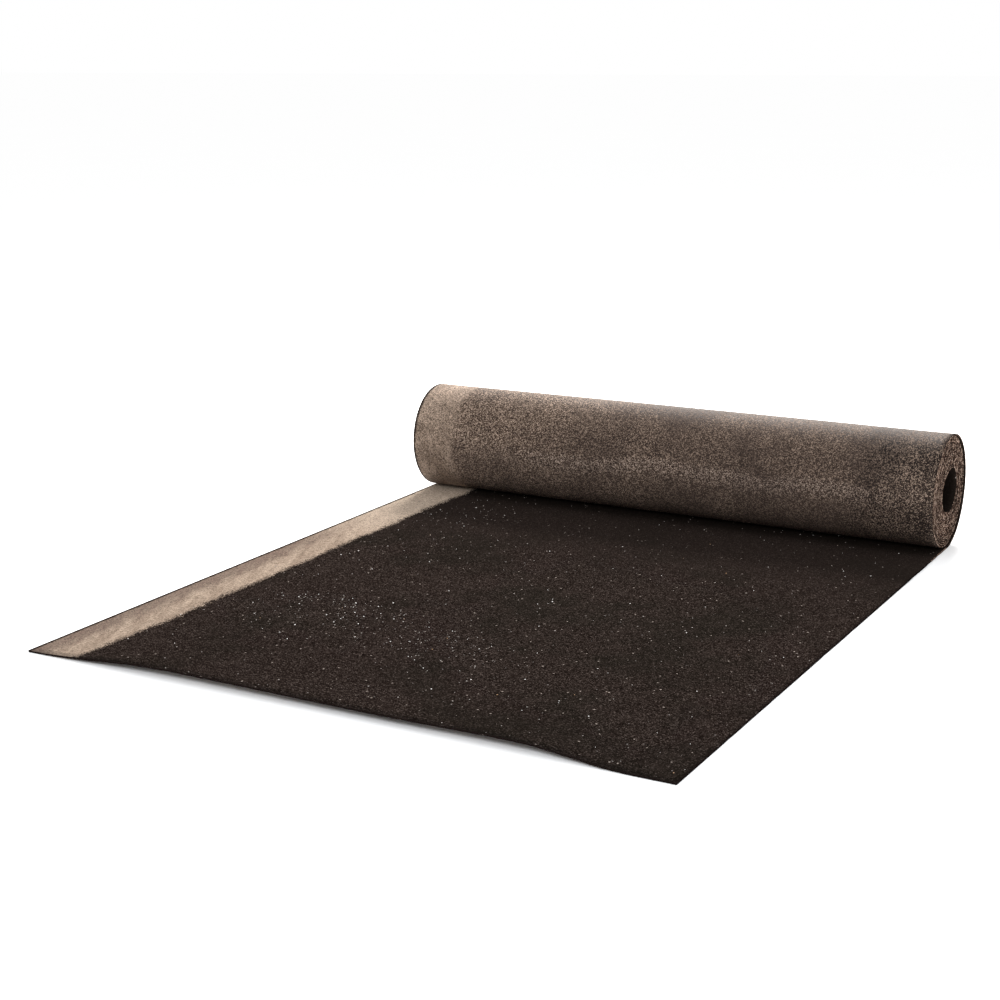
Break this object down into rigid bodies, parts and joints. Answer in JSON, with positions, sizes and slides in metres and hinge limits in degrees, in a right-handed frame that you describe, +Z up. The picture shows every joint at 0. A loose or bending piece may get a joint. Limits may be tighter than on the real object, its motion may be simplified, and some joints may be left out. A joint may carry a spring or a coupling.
{
  "type": "roofing felt roll",
  "caption": "Roll of mineral-surfaced roofing felt wound about an open bore, its free end unrolled flat in front and slightly raised at the cut edge.",
  "frame": {"origin": "middle of the bounding box's underside, on the floor that the felt lies on", "axes": "+X along the bore, towards the sheet's edge without the light laying strip; +Y from the free end towards the coil; +Z up"},
  "size_m": [1, 1.236, 0.198],
  "materials": {
    "felt": "granular matte"
  },
  "bodies": {
    "root": {"roofing_felt": "felt"}
  },
  "joints": []
}
